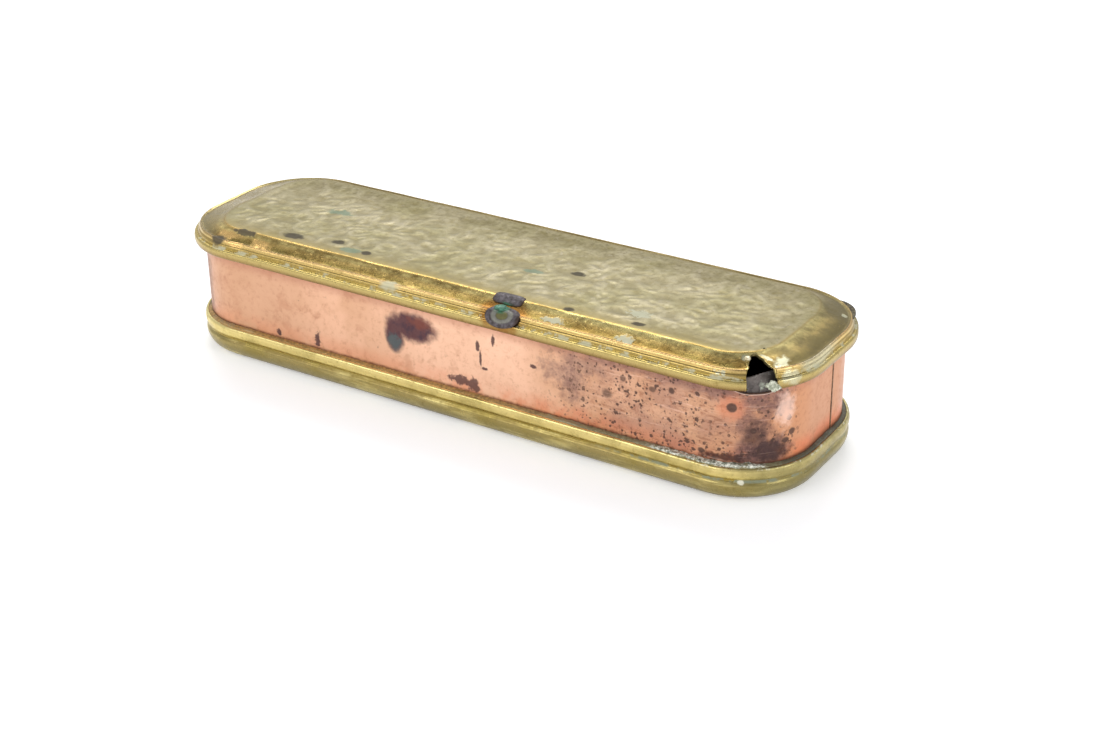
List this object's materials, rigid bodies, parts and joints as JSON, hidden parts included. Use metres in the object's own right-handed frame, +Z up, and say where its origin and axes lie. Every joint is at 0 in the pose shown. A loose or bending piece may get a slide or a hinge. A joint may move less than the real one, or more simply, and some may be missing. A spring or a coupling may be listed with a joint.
{
  "type": "needle case",
  "caption": "Slim oblong hinged box with round corners: copper side band between a beaded brass base and a stepped brass lid with worn low relief and a torn corner",
  "frame": {"origin": "centre of the flat underside, on the table", "axes": "+X along the case to the end with the side band's joint, -Y the front with the catch, +Y the back with the hinge, +Z up out of the lid"},
  "size_m": [0.16, 0.0494, 0.0311],
  "materials": {
    "copper": "bare copper, handled, with dark tarnish stains and small pits",
    "lid_brass": "worn dull brass, brighter on the mouldings",
    "base_brass": "worn brass with green and white residue in the groove",
    "solder": "grey soft solder, crumbly, with pale crust",
    "collar_metal": "tinned strip, dark grey tarnish",
    "hinge_brass": "dull brass tube and strip",
    "iron_pin": "dark iron wire",
    "catch_metal": "grey tarnished metal",
    "verdigris": "rivet end covered in green verdigris"
  },
  "bodies": {
    "case": {"copper_band": "copper", "seam_solder": "solder", "base_pan": "base_brass", "base_solder": "solder", "inner_collar": "collar_metal", "body_bearer": "hinge_brass", "hinge_pin": "iron_pin", "body_knuckle_1": "hinge_brass", "body_knuckle_2": "hinge_brass", "body_knuckle_3": "hinge_brass"},
    "lid": {"lid_shell": "lid_brass", "lid_bearer": "hinge_brass", "lid_knuckle_1": "hinge_brass", "lid_knuckle_2": "hinge_brass", "catch_bar": "catch_metal", "catch_plate": "catch_metal", "catch_rivet": "verdigris"}
  },
  "joints": [
    {"name": "lid_hinge", "type": "hinge", "parent": "case", "child": "lid", "pos_m": [0, 0.0225, 0.02575], "axis": [-1, 0, 0], "range_deg": [0, 120]}
  ]
}
